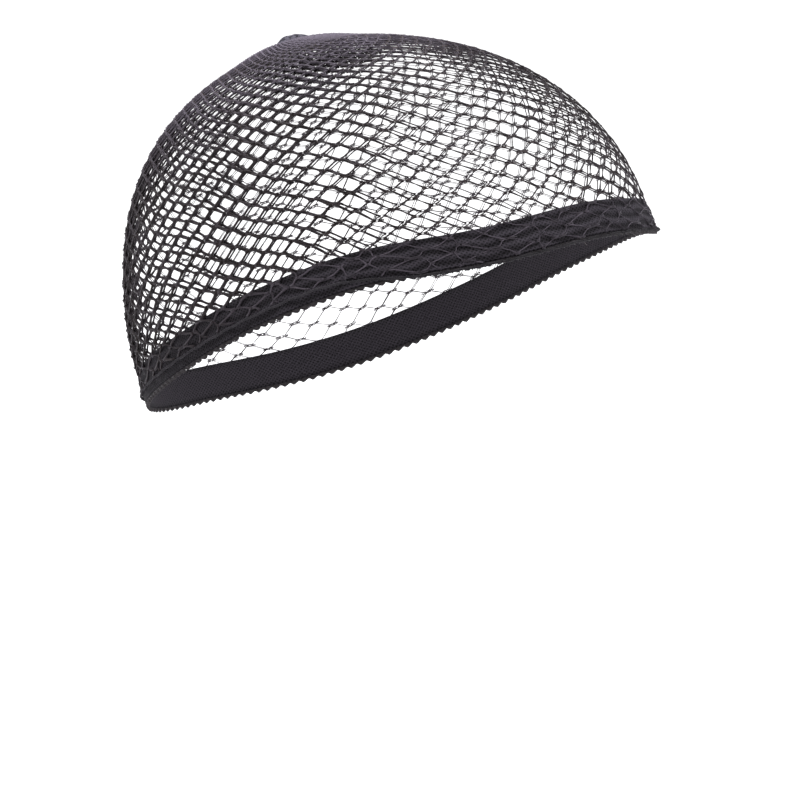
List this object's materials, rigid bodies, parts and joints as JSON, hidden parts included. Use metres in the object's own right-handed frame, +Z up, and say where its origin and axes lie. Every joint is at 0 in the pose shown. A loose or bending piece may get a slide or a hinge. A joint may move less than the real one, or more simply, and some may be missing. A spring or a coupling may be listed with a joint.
{
  "type": "wig net",
  "caption": "Stretchy fishnet wig cap in worn form: two net layers gathered at the crown, hemmed over a picot-edged elastic band.",
  "frame": {"origin": "middle of the head at the cap's widest level, which is where the head sits", "axes": "+Z up through the crown, +Y towards the nape, +X towards the wearer's left; the brow faces -Y"},
  "size_m": [0.1576, 0.1876, 0.1346],
  "materials": {
    "inner_net": "matt knitted nylon, near black",
    "outer_net": "knitted nylon, near black with a soft violet-grey sheen",
    "elastic": "matt ribbed knitted elastic, black",
    "picot": "matt looped yarn, black",
    "hem": "folded net edge, dark violet-grey",
    "gather": "bunched net, dark violet-grey"
  },
  "bodies": {
    "root": {"inner_net": "inner_net", "outer_net": "outer_net", "elastic_band": "elastic", "picot_edge": "picot", "hem": "hem", "crown_gather": "gather"}
  },
  "joints": []
}
